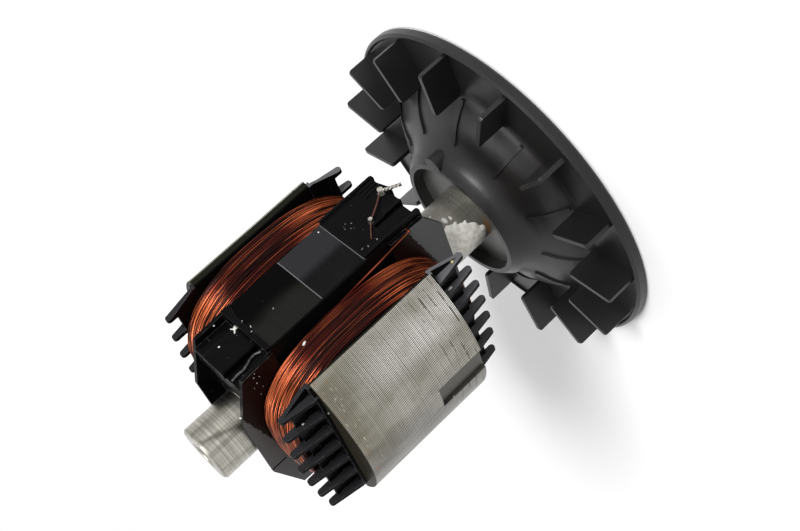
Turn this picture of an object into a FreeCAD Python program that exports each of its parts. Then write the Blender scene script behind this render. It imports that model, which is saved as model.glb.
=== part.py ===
import FreeCAD, Part
import math
import os

# Two-pole generator rotor, standing on the rim of its fan.
# The shaft's axis is Z. The near pole faces +X and the gap with the soldered parts faces +Y.
# All sizes are in millimetres.

V = FreeCAD.Vector
X_AXIS = V(1, 0, 0)
Y_AXIS = V(0, 1, 0)
Z_AXIS = V(0, 0, 1)

# Heights along the shaft
fan_to_core = 58.2            # fan's rim plane to the core's lower end
lamination_thickness = 0.5
lamination_count = 106
shaft_overhang = 35.0         # free shaft end above the core
core_low = fan_to_core
core_high = core_low + lamination_count * lamination_thickness
shaft_top = core_high + shaft_overhang

# Core
core_diameter = 95.4
pole_half_arc = 46.7          # degrees
pole_tip_thickness = 1.7
pole_back = 31.0              # distance from the axis to the shoe's flat back
tooth_width = 24.0            # tooth between the two coils
tooth_height = 36.0           # from the axis to the tooth's flat top
neck_width = 34.0             # pole neck, across the slots
slot_corner_radius = 1.1
notch_width = 11.2            # balancing cut in the near pole
notch_length = 20.0
notch_depth = 1.6
notch_turn = -2.7             # degrees from the pole's middle

# Shaft
seat_diameter = 22.5          # under the core and the fan
journal_diameter = 22.0       # bearing seat at the free end
journal_length = 21.0         # its step lies against the insulator's hub block
journal_chamfer = 0.9
bore_chamfer = 0.5
socket_cone = 1.0             # length of the cone between socket and bore
through_bore_diameter = 10.0
socket_mouth_diameter = 18.0  # tapered socket at the fan end
socket_end_diameter = 12.0
socket_length = 30.0
shaft_foot = 1.0              # gap between the rim plane and the shaft's lower end

# Rivets
rivet_diameter = 5.0
rivet_head_diameter = 8.0
rivet_head_height = 0.9
rivet_circle_radius = 24.0
rivet_play = 0.15

# End insulators
plate_thickness = 1.3         # plate on the core's end
cheek_thickness = 1.4         # inner flange beside the tooth
cheek_reach = 21.0            # beyond the core's end
cheek_drop = 1.4              # cheek's edge below the tooth's top
cheek_play = 0.2              # between the tooth and the cheek
cheek_draft = 0.6             # the cheek's sides lean in this much up to its shoulder
cheek_shoulder = 13.6
cheek_flat_half = 16.2
fan_cheek_shoulder = 15.0
fan_cheek_flat_half = 24.3
cheek_slit_width = 0.8
cheek_slit_place = -14.8
cheek_slit_depth = 6.5
flange_thickness = 1.4        # outer flange under the pole
flange_inner = 29.9
flange_wall_height = 10.4
flange_wall_horn = 2.0        # the wall rises behind the outermost fingers
flange_wall_horn_width = 0.8
flange_wall_end = 1.8
flange_half_height = 33.4
flange_base_reach = 35.4      # base plate out over the pole's end
flange_base_corner = 7.0
flange_base_margin = 1.2      # inside the core's round outside
finger_pitch = 9.5
finger_count = 7
finger_thickness = 1.6
finger_length = 17.3
finger_bow = 2.9              # the outermost fingers are this much shorter
finger_foot_depth = 34.7
finger_shoulder = 0.6         # above the base plate
finger_tip_radius = 1.3
saddle_round = 1.2            # rounded plate that the wire bends over
block_height = 14.0           # hub block round the shaft
block_half_depth = 24.0
hub_play = 0.05

# Free-end block with its diode box and lead
ledge_drop = 5.0              # below the tooth's top
ledge_reach = 15.4            # beyond the core's end
box_width = 11.5
box_drop = 1.8                # below the tooth's top
box_length = 14.6
box_round = 1.0
lip_thickness = 0.6
lip_lap = 0.9                 # over the tooth
lip_corner_lap = 2.6
lead_diameter = 1.0           # sleeved lead in the groove beside the box
lead_run = ((7.6, 0.2), (6.7, 2.2), (6.9, 4.4), (7.7, 6.2), (8.4, 8.4), (8.2, 10.8), (8.6, 13.6))

# Fan-end tray on the tooth's top
tray_length = 9.3             # over the tooth
tray_floor = 0.9
tray_rim = 1.8
tray_rim_width = 0.9
shelf_edge = 4.4              # the shelf fills the tray up to here, across the tooth
shelf_reach = 14.4            # beyond the core's end
well_drop = 6.0               # floor under the diode, below the tooth's top
fin_thickness = 0.9
fin_rise = 0.5
fin_length = 8.0
side_fin_reach = 15.6
side_fin_round = 1.5
shelf_rib_places = (-10.4, -8.8, -7.2)
shelf_rib_width = 0.8
shelf_rib_length = 7.0
shelf_rib_rise = 0.6
diode_width = 6.8
diode_length = 12.2
diode_height = 6.4
diode_round = 1.6

# Slot liners and film
liner_thickness = 0.35
liner_tooth_margin = 0.5      # below the tooth's top
liner_tip_margin = 0.4        # below the shoe's corner
film_width = 23.6
film_length = 19.6
film_thickness = 0.3
film_place = 9.6              # film's lower edge above the core's lower end

# Coils
coil_gap = 0.1                # between the coil and what it lies on
coil_inner_half = 30.6        # bulge beside the tooth
coil_outer_half = 32.8        # bulge under the pole tip
coil_end_rise = 14.2          # end turns beyond the core
coil_outer_end_rise = 12.2
far_coil_outer_end_rise = 14.0   # the far coil is wound fuller under its pole
coil_free_end_power = 2.7     # how square the coil's outline is at each end
coil_fan_end_power = 2.35
coil_outline_points = 24
coil_middle_swell = 0.5       # the middle turns stand this much proud of the mean

# Soldered parts
wire_diameter = 0.6
enamelled_wire_diameter = 0.5
tinned_strand_diameter = 0.75
solder_height = 1.8
solder_crown = 0.6            # top radius of a joint as a share of its foot
wire_entry = 0.45             # height of a wire in its joint as a share of the joint's height
upper_blob_radius = 1.75
lower_blob_radius = 1.3
upper_blob_across = -4.0
upper_blob_reach = 12.6       # beyond the core's end
lower_blob_across = 2.7
lower_blob_reach = 2.0
link_end_across = 8.3
link_end_lap = 3.0            # over the tooth
strand_end_across = 0.6
strand_end_reach = 18.4
strand_turns = 2.5            # twists of the two strands over their length
strand_steps = 10
lead_hole_reach = 8.2         # hole in the near cheek for the coil's lead
lead_hole_size = 1.0
lead_hole_drop = 2.6          # below the tooth's top
lead_start_reach = 0.5        # over the coil, beside the cheek
lead_start_drop = 2.0         # below the core's middle
lead_play = 0.1
link_arch = 0.6               # how far the link wire bows

# Fan
fan_diameter = 138.2
fan_wall = 2.6
fan_dish_height = 3.6
fan_lip_width = 1.7
fan_lip_height = 1.0
fan_edge_round = 0.9
fan_lip_slope = 0.7
fan_rim_land = 5.0            # flat ring on which the fan stands
fan_rim_slope = 1.0
blade_count = 15
blade_phase = -0.9            # degrees
blade_outer_radius = 66.6
blade_inner_radius = 48.0
blade_top = 16.0
blade_thickness = 1.7
blade_corner = 1.2
blade_root = 1.0              # sunk into the dish
nose_crease_radius = 28.0
nose_crease_height = 19.7
nose_top_radius = 25.6
nose_top_height = 22.4
recess_radius = 23.6
recess_floor = 18.0
rib_count = 11
rib_phase = -6.4              # degrees
rib_width = 1.2
rib_height = 0.9
rib_outer_radius = 48.0
rib_inner_radius = 33.0
pad_radius = 3.6
pad_place = 26.6
pad_turn = 103.0              # degrees
sleeve_diameter = 32.0        # hub sleeve under the bell
sleeve_foot = 1.5
stiffener_count = 5
stiffener_thickness = 2.2
stiffener_foot = 6.0
stiffener_reach = 40.0
bell_throat = (30.9, 15.6)    # (radius, height) of points on the bell, from its nose to its foot
bell_shoulder = (36.4, 12.3)
bell_flank = (41.0, 10.0)
bell_heel = (45.0, 7.0)
bell_instep = (47.8, 4.75)
bell_foot_radius = 51.0
bell_under = ((27.4, 12.4), (33.4, 10.4), (38.6, 7.6), (43.4, 4.2))   # hollow side of the bell

# Worked-out values
over = 1.0                    # a cut runs this far past the material, and a joined block into it
same = 0.01                   # places nearer to each other than this are one place
nearly_one = 0.9              # a direction's part along an axis, when it runs along that axis
ledge_top = tooth_height - ledge_drop
box_top = tooth_height - box_drop
well_floor = tooth_height - well_drop
cheek_half_height = tooth_height - cheek_drop
lead_hole_floor = tooth_height - lead_hole_drop
core_radius = core_diameter / 2
tooth_half = tooth_width / 2
neck_half = neck_width / 2
cheek_inner = tooth_half + cheek_play
cheek_outer = cheek_inner + cheek_thickness
coil_start = cheek_outer + coil_gap
coil_end = flange_inner - coil_gap
coil_neck = neck_half + liner_thickness + coil_gap
core_middle = (core_low + core_high) / 2
fan_radius = fan_diameter / 2


def box(low, high):
    size = [high[i] - low[i] for i in range(3)]
    return Part.makeBox(size[0], size[1], size[2], V(*low))


def cylinder(radius, low, high, x=0.0, y=0.0):
    return Part.makeCylinder(radius, high - low, V(x, y, low))


def prism(points, direction):
    """A closed polygon of (x, y, z) points pushed along a direction."""
    corners = [V(*p) for p in points]
    face = Part.Face(Part.makePolygon(corners + corners[:1]))
    return face.extrude(direction)


def upright_plate(outline, x_low, x_high):
    """A plate facing X whose outline is given as (y, z)."""
    return prism([(x_low, y, z) for y, z in outline], V(x_high - x_low, 0, 0))


def revolved(outline):
    """A closed (radius, z) outline turned about the shaft's axis."""
    corners = [V(r, 0, z) for r, z in outline]
    face = Part.Face(Part.makePolygon(corners + corners[:1]))
    return face.revolve(V(0, 0, 0), Z_AXIS, 360)


def fused(shapes):
    whole = shapes[0].fuse(shapes[1:]) if len(shapes) > 1 else shapes[0]
    return whole.removeSplitter()


def mirrored_x(shape):
    return shape.mirror(V(0, 0, 0), X_AXIS)


def mirrored_y(shape):
    return shape.mirror(V(0, 0, 0), Y_AXIS)


def flipped_to_fan_end(shape):
    """The same form hung under the core instead of standing on it."""
    return shape.mirror(V(0, 0, core_middle), Z_AXIS)


def save(shape, name):
    solids = shape.Solids
    shape = solids[0] if len(solids) == 1 else Part.makeCompound(solids)
    shape.exportStep("parts/" + name + ".step")
    print("%-24s %d solid(s) %9.1f mm3 valid %s" % (name, len(solids), shape.Volume, shape.isValid()))


def pole_region():
    """Near pole's shoe between its flat back and the core's round outside."""
    turn = math.radians(pole_half_arc)
    inner = core_radius - pole_tip_thickness
    tip = V(core_radius * math.cos(turn), core_radius * math.sin(turn), core_low)
    corner_y = inner * math.sin(turn)
    low_tip = V(tip.x, -tip.y, core_low)
    edges = [
        Part.Arc(low_tip, V(core_radius, 0, core_low), tip).toShape(),
        Part.makeLine(tip, V(pole_back, corner_y, core_low)),
        Part.makeLine(V(pole_back, corner_y, core_low), V(pole_back, -corner_y, core_low)),
        Part.makeLine(V(pole_back, -corner_y, core_low), low_tip),
    ]
    return Part.Face(Part.Wire(edges)).extrude(V(0, 0, core_high - core_low))


def core_stack():
    shoe = pole_region()
    tooth = box((-tooth_half, -tooth_height, core_low), (tooth_half, tooth_height, core_high))
    neck = box((-pole_back - over, -neck_half, core_low), (pole_back + over, neck_half, core_high))
    core = fused([tooth, neck, shoe, mirrored_x(shoe)])
    inner_corners = [
        e for e in core.Edges
        if abs(abs(e.CenterOfMass.y) - neck_half) < same and e.Length > core_high - core_low - same
        and min(abs(abs(e.CenterOfMass.x) - tooth_half), abs(abs(e.CenterOfMass.x) - pole_back)) < same
    ]
    core = core.makeFillet(slot_corner_radius, inner_corners)
    core = core.cut(cylinder(seat_diameter / 2, core_low, core_high))
    for x, y in rivet_places():
        core = core.cut(cylinder(rivet_diameter / 2, core_low, core_high, x, y))
    notch = box((core_radius - notch_depth, -notch_width / 2, core_low),
                (core_radius + over, notch_width / 2, core_low + notch_length))
    notch.rotate(V(0, 0, 0), Z_AXIS, notch_turn)
    return core.cut(notch)


def rivet_places():
    r = rivet_circle_radius
    return [(r, 0), (0, r), (-r, 0), (0, -r)]


def core_rivets():
    rivets = []
    for x, y in rivet_places():
        shank = cylinder(rivet_diameter / 2, core_low, core_high, x, y)
        for low in (core_low - rivet_head_height, core_high):
            head = cylinder(rivet_head_diameter / 2, low, low + rivet_head_height, x, y)
            shank = shank.fuse(head)
        rivets.append(shank.removeSplitter())
    return Part.makeCompound(rivets)


def shaft():
    seat = seat_diameter / 2
    journal = journal_diameter / 2
    bore = through_bore_diameter / 2
    shoulder = shaft_top - journal_length
    socket_top = shaft_foot + socket_length
    outline = [
        (socket_mouth_diameter / 2, shaft_foot),
        (seat, shaft_foot),
        (seat, shoulder),
        (journal, shoulder + (seat - journal)),
        (journal, shaft_top - journal_chamfer),
        (journal - journal_chamfer, shaft_top),
        (bore + bore_chamfer, shaft_top),
        (bore, shaft_top - bore_chamfer),
        (bore, socket_top + socket_cone),
        (socket_end_diameter / 2, socket_top),
    ]
    return revolved(outline)


def comb_flange():
    """Outer flange of the near pole at the free end: base, wall and tapered fingers."""
    base = core_high
    outer = flange_inner + flange_thickness
    side = flange_half_height
    round_side = math.sqrt((core_radius - flange_base_margin) ** 2 - side ** 2)
    corner = flange_base_corner
    plate = prism([
        (flange_inner, -side, base), (round_side, -side, base),
        (flange_base_reach, -side + corner, base), (flange_base_reach, side - corner, base),
        (round_side, side, base), (flange_inner, side, base),
    ], V(0, 0, plate_thickness))
    top = base + flange_wall_height
    half_run = finger_pitch * (finger_count // 2)
    horn = half_run + flange_wall_horn_width
    horn_top = top + flange_wall_horn
    end_top = base + flange_wall_end
    wall = upright_plate([
        (-side, base), (side, base), (side, end_top), (horn, horn_top),
        (half_run, top), (-half_run, top), (-horn, horn_top), (-side, end_top),
    ], flange_inner, outer)
    pieces = [plate, wall]
    for k in range(finger_count):
        y = (k - finger_count // 2) * finger_pitch
        pieces.append(finger(y, base, outer))
    return fused(pieces)


def finger(y, base, wall_face):
    """One tapered finger: a thin gusset with a rounded tip that hooks inwards."""
    shortening = finger_bow * (y / (finger_pitch * (finger_count // 2))) ** 2
    tip = base + finger_length - shortening
    r = finger_tip_radius
    outer_tip = V(flange_inner + 2 * r, y, tip - r)
    inner_tip = V(flange_inner, y, tip - r)
    crown = V(flange_inner + r, y, tip)
    foot_out = V(finger_foot_depth, y, base)
    shoulder_out = V(finger_foot_depth, y, base + plate_thickness + finger_shoulder)
    foot_in = V(flange_inner, y, base)
    edges = [
        Part.makeLine(foot_in, foot_out),
        Part.makeLine(foot_out, shoulder_out),
        Part.makeLine(shoulder_out, outer_tip),
        Part.Arc(outer_tip, crown, inner_tip).toShape(),
        Part.makeLine(inner_tip, foot_in),
    ]
    plate = Part.Face(Part.Wire(edges)).extrude(V(0, finger_thickness, 0))
    plate.translate(V(0, -finger_thickness / 2, 0))
    return plate


def cheek(flat_half, shoulder, with_slit):
    """Inner flange beside the tooth, with its chamfered outline."""
    base = core_high
    h = cheek_half_height
    outline = [
        (-h, base), (h, base), (h - cheek_draft, base + shoulder), (flat_half, base + cheek_reach),
        (-flat_half, base + cheek_reach), (-h + cheek_draft, base + shoulder),
    ]
    plate = upright_plate(outline, cheek_inner, cheek_outer)
    if with_slit:
        top = base + cheek_reach
        slit = box((cheek_inner - over, cheek_slit_place - cheek_slit_width / 2, top - cheek_slit_depth),
                   (cheek_outer + over, cheek_slit_place + cheek_slit_width / 2, top + over))
        plate = plate.cut(slit)
    return plate


def saddle():
    """Rounded plate on the near neck's end, over which the wire bends."""
    low = core_high
    top = low + plate_thickness
    plate = box((cheek_inner, -neck_half, low), (flange_inner + flange_thickness / 2, neck_half, top))
    long_edges = [
        e for e in plate.Edges
        if abs(abs(e.CenterOfMass.y) - neck_half) < same and abs(e.CenterOfMass.z - top) < same
    ]
    return plate.makeFillet(saddle_round, long_edges)


def end_body(block_half):
    """Plate over the tooth's end and the block that surrounds the shaft."""
    low = core_high
    plate = box((-cheek_inner, -tooth_height, low), (cheek_inner, tooth_height, low + plate_thickness))
    block = box((-cheek_inner, -block_half, low), (cheek_inner, block_half, low + block_height))
    return [plate, block]


def end_insulator(extra, cheek_flat, shoulder, slit):
    """One moulding on a core end: two cheeks, two saddles, two combs and the middle block."""
    half = fused([cheek(cheek_flat, shoulder, slit), saddle(), comb_flange()])
    body = fused(end_body(block_half_depth) + [half, mirrored_x(half)] + extra)
    body = body.cut(cylinder(seat_diameter / 2 + hub_play, core_high - over, core_high + cheek_reach + over))
    for x, y in rivet_places():
        pocket = cylinder(rivet_head_diameter / 2 + rivet_play, core_high,
                          core_high + rivet_head_height + rivet_play, x, y)
        body = body.cut(pocket)
    return body


def free_end_insulator():
    low = core_high
    lip_low = tooth_height + hub_play
    lip_high = lip_low + lip_thickness
    ledge = box((-cheek_inner, block_half_depth - over, low), (cheek_inner, ledge_top, low + ledge_reach))
    wall = box((-cheek_inner, ledge_top - over, low), (cheek_inner, lip_high, low + plate_thickness))
    lip = prism([
        (-cheek_inner, lip_low, low + plate_thickness), (-cheek_inner, lip_low, low - lip_corner_lap),
        (-tooth_half / 2, lip_low, low - lip_lap), (cheek_inner, lip_low, low - lip_lap),
        (cheek_inner, lip_low, low + plate_thickness),
    ], V(0, lip_thickness, 0))
    return end_insulator([ledge, wall, lip], cheek_flat_half, cheek_shoulder, True)


def free_end_diode():
    """Potted diode block seated on the ledge between the cheeks."""
    low = core_high + plate_thickness
    body = box((-box_width / 2, ledge_top, low), (box_width / 2, box_top, low + box_length))
    top_edges = [
        e for e in body.Edges
        if abs(e.CenterOfMass.y - box_top) < same and abs(e.tangentAt(e.FirstParameter).z) > nearly_one
    ]
    return body.makeFillet(box_round, top_edges)


def diode_lead():
    """Sleeved lead that lies in the groove between the diode box and the near cheek."""
    rest = ledge_top + lead_diameter / 2 + coil_gap / 2
    low = core_high + plate_thickness
    return wire([(x, rest, low + reach) for x, reach in lead_run], lead_diameter)


def fan_end_insulator():
    """Built standing on the core like the other one, then hung under it."""
    low = core_high
    top = tooth_height + hub_play
    shelf_top = top + tray_floor
    rim_top = top + tray_rim
    edge = shelf_edge
    ledge = box((-cheek_inner, block_half_depth - over, low), (cheek_inner, well_floor, low + block_height))
    shelf = box((-cheek_inner, well_floor - over, low), (edge, shelf_top, low + shelf_reach))
    floor = box((-cheek_inner, top, low - tray_length), (cheek_inner, shelf_top, low + plate_thickness))
    wall = box((-cheek_inner, well_floor - over, low), (cheek_inner, shelf_top, low + plate_thickness))
    far_rim = box((-cheek_inner, top, low - tray_length),
                  (-cheek_inner + tray_rim_width, rim_top, low + plate_thickness))
    near_rim = box((cheek_inner - tray_rim_width, top, low - tray_length),
                   (cheek_inner, rim_top, low + plate_thickness))
    far_fin = side_fin(-cheek_inner, rim_top)
    near_fin = side_fin(cheek_inner - tray_rim_width, rim_top)
    fin = box((edge - fin_thickness, shelf_top - over, low + shelf_reach - fin_length),
              (edge, shelf_top + fin_rise, low + shelf_reach))
    extra = [ledge, shelf, floor, wall, far_rim, near_rim, far_fin, near_fin, fin]
    for x in shelf_rib_places:
        extra.append(box((x, shelf_top - over, low + shelf_reach - shelf_rib_length),
                         (x + shelf_rib_width, shelf_top + shelf_rib_rise, low + shelf_reach)))
    body = flipped_to_fan_end(end_insulator(extra, fan_cheek_flat_half, fan_cheek_shoulder, False))
    hole_z = core_low - lead_hole_reach
    hole = box((cheek_inner - tray_rim_width - coil_gap, lead_hole_floor, hole_z - lead_hole_size / 2),
               (cheek_outer + over, lead_hole_floor + lead_hole_size, hole_z + lead_hole_size / 2))
    return body.cut(hole)


def side_fin(x_low, top):
    """Wall beside the shelf whose free corner is rounded."""
    high = core_high + side_fin_reach
    wall = box((x_low, well_floor - over, core_high), (x_low + tray_rim_width, top, high))
    corner = [
        e for e in wall.Edges
        if abs(e.CenterOfMass.y - top) < same and abs(e.CenterOfMass.z - high) < same
    ]
    return wall.makeFillet(side_fin_round, corner)


def rounded_block(low, high, radius):
    """Small moulded body with rounded long edges on its +Y face."""
    body = box(low, high)
    edges = [
        e for e in body.Edges
        if abs(e.CenterOfMass.y - high[1]) < same and abs(e.tangentAt(e.FirstParameter).z) > nearly_one
    ]
    return body.makeFillet(radius, edges)


def fan_end_diode():
    """Moulded diode standing in the well beside the shelf."""
    top = core_low - plate_thickness
    left = shelf_edge + coil_gap / 2
    return rounded_block((left, well_floor, top - diode_length),
                         (left + diode_width, well_floor + diode_height, top), diode_round)


def shelf_height():
    return tooth_height + hub_play + tray_floor


def upper_blob_place():
    return V(upper_blob_across, shelf_height(), core_low - upper_blob_reach)


def lower_blob_place():
    return V(lower_blob_across, shelf_height(), core_low - lower_blob_reach)


def link_wire():
    """Enamelled wire from the upper joint past the lower one to the tray's floor."""
    a = upper_blob_place()
    b = lower_blob_place()
    r = enamelled_wire_diameter / 2
    lift = V(0, solder_height * wire_entry, 0)
    bow = V(link_arch, link_arch, 0)
    end = V(link_end_across, shelf_height() + r, core_low + link_end_lap)
    points = [
        a + lift, a + (b - a) / 4 + lift + bow / 2, a + (b - a) / 2 + lift + bow,
        b + lift, (b + end) / 2 + lift, end,
    ]
    points = [(p.x, p.y, p.z) for p in points]
    return wire(points, enamelled_wire_diameter)


def twisted_strand(phase):
    """One of two tinned strands twisted together, leaving the upper joint over the shelf's edge."""
    start = upper_blob_place() + V(upper_blob_radius / 4, solder_height / 2, -upper_blob_radius / 4)
    end = V(strand_end_across, shelf_height() + solder_height, core_low - strand_end_reach)
    along = end - start
    unit = V(along).normalize()
    side = unit.cross(Y_AXIS).normalize()
    up = side.cross(unit)
    steps = strand_steps
    turns = strand_turns
    reach = tinned_strand_diameter / 2 + same
    points = []
    for k in range(steps + 1):
        share = k / steps
        turn = 2 * math.pi * turns * share + phase
        p = start + along * share + side * (reach * math.cos(turn)) + up * (reach * math.sin(turn))
        points.append((p.x, p.y, p.z))
    return wire(points, tinned_strand_diameter)


def twisted_lead_end():
    return Part.makeCompound([twisted_strand(0), twisted_strand(math.pi)])


def solder_joint(place, radius, wires):
    """Blob of solder that sits on the shelf and holds the wires that run through it."""
    blob = Part.makeCone(radius, radius * solder_crown, solder_height, place, Y_AXIS)
    for w in wires:
        blob = blob.cut(w)
    return biggest(blob)


def biggest(shape):
    return max(shape.Solids, key=lambda one: one.Volume)


def near_coil_lead():
    """Start of the winding: lies on the coil, then runs through the near cheek's hole to the diode."""
    r = wire_diameter / 2
    lift = lead_hole_floor + r + lead_play / 2
    hole_z = core_low - lead_hole_reach
    points = [
        (coil_start + lead_start_reach, coil_inner_half + r + 2 * lead_play, core_middle - lead_start_drop),
        (cheek_outer + r + lead_play, lift, hole_z),
        (shelf_edge + coil_gap / 2 + diode_width, lift, hole_z),
    ]
    return wire(points, wire_diameter)


def coil_outline(x, half, rise):
    """One cross-section of the near coil's outside, as a smooth closed curve in a plane facing X."""
    z_half = (core_high - core_low) / 2 + rise
    points = []
    steps = coil_outline_points
    for k in range(steps):
        turn = 2 * math.pi * k / steps
        c = math.cos(turn)
        s = math.sin(turn)
        power = coil_free_end_power if s >= 0 else coil_fan_end_power
        y = half * math.copysign(abs(c) ** (2 / power), c)
        z = core_middle + z_half * math.copysign(abs(s) ** (2 / power), s)
        points.append(V(x, y, z))
    curve = Part.BSplineCurve()
    curve.interpolate(points, PeriodicFlag=True)
    return Part.Wire(curve.toShape())


def coil(outer_end_rise):
    sections = [
        coil_outline(coil_start, coil_inner_half, coil_end_rise),
        coil_outline((coil_start + coil_end) / 2,
                     (coil_inner_half + coil_outer_half) / 2 + coil_middle_swell, coil_end_rise),
        coil_outline(coil_end, coil_outer_half, outer_end_rise),
    ]
    body = Part.makeLoft(sections, True, False)
    hole_half = coil_neck
    hole_rise = plate_thickness + coil_gap
    hole = box((coil_start - over, -hole_half, core_low - hole_rise),
               (coil_end + over, hole_half, core_high + hole_rise))
    return body.cut(hole)


def slot_profile(inset):
    """The slot's inside from the tooth past the neck to the shoe's back, moved into the slot by an inset."""
    tooth_top = tooth_height - liner_tooth_margin
    tip_top = (core_radius - pole_tip_thickness) * math.sin(math.radians(pole_half_arc)) - liner_tip_margin
    left = tooth_half + inset
    right = pole_back - inset
    floor = neck_half + inset
    r = slot_corner_radius - inset
    bulge = r * (1 - math.sqrt(0.5))
    return [
        Part.makeLine(V(left, tooth_top, core_low), V(left, floor + r, core_low)),
        Part.Arc(V(left, floor + r, core_low), V(left + bulge, floor + bulge, core_low),
                 V(left + r, floor, core_low)).toShape(),
        Part.makeLine(V(left + r, floor, core_low), V(right - r, floor, core_low)),
        Part.Arc(V(right - r, floor, core_low), V(right - bulge, floor + bulge, core_low),
                 V(right, floor + r, core_low)).toShape(),
        Part.makeLine(V(right, floor + r, core_low), V(right, tip_top, core_low)),
    ]


def liner(x_side, y_side):
    """Bent sheet in one slot: tooth side, neck and the back of the pole shoe."""
    steel_side = slot_profile(0)
    coil_side = slot_profile(liner_thickness)
    tooth_edge = Part.makeLine(steel_side[0].Vertexes[0].Point, coil_side[0].Vertexes[0].Point)
    tip_edge = Part.makeLine(steel_side[-1].Vertexes[-1].Point, coil_side[-1].Vertexes[-1].Point)
    outline = Part.Wire(Part.__sortEdges__(steel_side + coil_side + [tooth_edge, tip_edge]))
    sheet = Part.Face(outline).extrude(V(0, 0, core_high - core_low))
    if x_side < 0:
        sheet = mirrored_x(sheet)
    if y_side < 0:
        sheet = mirrored_y(sheet)
    return sheet


def tooth_film():
    low = core_low + film_place
    return box((-film_width / 2, tooth_height, low),
               (film_width / 2, tooth_height + film_thickness, low + film_length))


def bell_curve(offset):
    """Bell's profile from the nose's crease to the dish as three arcs, lowered by an offset."""
    crease = V(nose_crease_radius, 0, nose_crease_height - offset)
    foot = V(bell_foot_radius, 0, fan_dish_height - offset)
    middle = (bell_throat, bell_shoulder, bell_flank, bell_heel, bell_instep)
    stops = [crease] + [V(r, 0, z - offset) for r, z in middle] + [foot]
    arcs = [Part.Arc(stops[k], stops[k + 1], stops[k + 2]).toShape() for k in (0, 2, 4)]
    return arcs, crease, foot


def fan_shell():
    """Dish, lip, bell and nose of the fan as one turned section."""
    bell, crease, foot = bell_curve(0)
    r = fan_edge_round
    lip_in = fan_radius - fan_lip_width
    lip_top = fan_dish_height + fan_lip_height
    dish_under = fan_dish_height - fan_wall
    under_r = bell_foot_radius - fan_wall / 2
    sleeve = sleeve_diameter / 2
    floor_under = recess_floor - fan_wall
    hole = seat_diameter / 2
    nose_in = nose_crease_radius - fan_wall
    rim_land = fan_radius - fan_rim_land
    lip_foot = lip_in - fan_lip_slope / 2
    lip_edge = lip_in + fan_lip_slope / 2
    corners = [
        crease, V(nose_top_radius, 0, nose_top_height), V(recess_radius, 0, nose_top_height),
        V(recess_radius, 0, recess_floor), V(hole, 0, recess_floor), V(hole, 0, sleeve_foot),
        V(sleeve, 0, sleeve_foot), V(sleeve, 0, floor_under), V(nose_in, 0, floor_under),
        *[V(r_under, 0, z) for r_under, z in bell_under], V(under_r, 0, dish_under),
        V(rim_land - fan_rim_slope, 0, dish_under), V(rim_land, 0, 0), V(fan_radius - r, 0, 0),
        V(fan_radius, 0, r), V(fan_radius, 0, lip_top - r), V(fan_radius - r, 0, lip_top),
        V(lip_edge, 0, lip_top), V(lip_foot, 0, fan_dish_height), foot,
    ]
    edges = bell + [Part.makeLine(a, b) for a, b in zip(corners, corners[1:])]
    section = Part.Face(Part.Wire(Part.__sortEdges__(edges)))
    return section.revolve(V(0, 0, 0), Z_AXIS, 360)


def fan_blade():
    low = fan_dish_height - blade_root
    half = blade_thickness / 2
    blade = box((blade_inner_radius, -half, low), (blade_outer_radius, half, blade_top))
    corners = [
        e for e in blade.Edges
        if abs(e.CenterOfMass.z - blade_top) < same and abs(e.CenterOfMass.y) < same
    ]
    return blade.makeFillet(blade_corner, corners)


def fan_rib():
    """Low rib lying on the bell between two blades."""
    bell, crease, foot = bell_curve(-rib_height)
    cutter_low = V(crease.x, 0, -over)
    cutter_far = V(foot.x, 0, -over)
    edges = bell + [Part.makeLine(crease, cutter_low), Part.makeLine(cutter_low, cutter_far),
                    Part.makeLine(cutter_far, foot)]
    face = Part.Face(Part.Wire(Part.__sortEdges__(edges)))
    body = face.extrude(V(0, rib_width, 0))
    body.translate(V(0, -rib_width / 2, 0))
    window = box((rib_inner_radius, -rib_width, fan_dish_height),
                 (rib_outer_radius, rib_width, nose_top_height))
    return body.common(window)


def fan():
    shell = fan_shell()
    pieces = []
    for k in range(blade_count):
        blade = fan_blade()
        blade.rotate(V(0, 0, 0), Z_AXIS, blade_phase + k * 360.0 / blade_count)
        pieces.append(blade)
    inside = fan_shell_inside()
    for k in range(rib_count):
        rib = fan_rib()
        rib.rotate(V(0, 0, 0), Z_AXIS, rib_phase + k * 360.0 / rib_count)
        pieces.append(rib.cut(inside))
    for k in range(stiffener_count):
        web = box((sleeve_diameter / 2 - fan_wall / 2, -stiffener_thickness / 2, stiffener_foot),
                  (stiffener_reach, stiffener_thickness / 2, recess_floor))
        web = web.common(inside)
        web.rotate(V(0, 0, 0), Z_AXIS, k * 360.0 / stiffener_count)
        pieces.append(web)
    turn = math.radians(pad_turn)
    pad = cylinder(pad_radius, recess_floor - over, nose_top_height,
                   pad_place * math.cos(turn), pad_place * math.sin(turn))
    pieces.append(pad.cut(cylinder(recess_radius, 0, nose_top_height + over)))
    return fused([shell] + pieces)


def fan_shell_inside():
    """Space under the bell, where only the webs stand."""
    nose_in = nose_crease_radius - fan_wall
    floor_under = recess_floor - fan_wall
    return revolved([
        (0, -over), (0, floor_under), (nose_in, floor_under), *bell_under,
        (bell_under[-1][0] + fan_wall / 2, -over),
    ])


def wire(points, diameter, sides=6):
    """A thin wire through a few points, with a plain many-sided section and mitred bends."""
    corners = [V(*p) for p in points]
    start = (corners[1] - corners[0]).normalize()
    across = start.cross(Y_AXIS if abs(start.y) < nearly_one else X_AXIS).normalize()
    up = start.cross(across)
    section = []
    for k in range(sides):
        turn = 2 * math.pi * (k + 0.5) / sides
        section.append(corners[0] + (across * math.cos(turn) + up * math.sin(turn)) * (diameter / 2))
    profile = Part.makePolygon(section + section[:1])
    mitred = 1
    return Part.makePolygon(corners).makePipeShell([profile], True, False, mitred)


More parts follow.
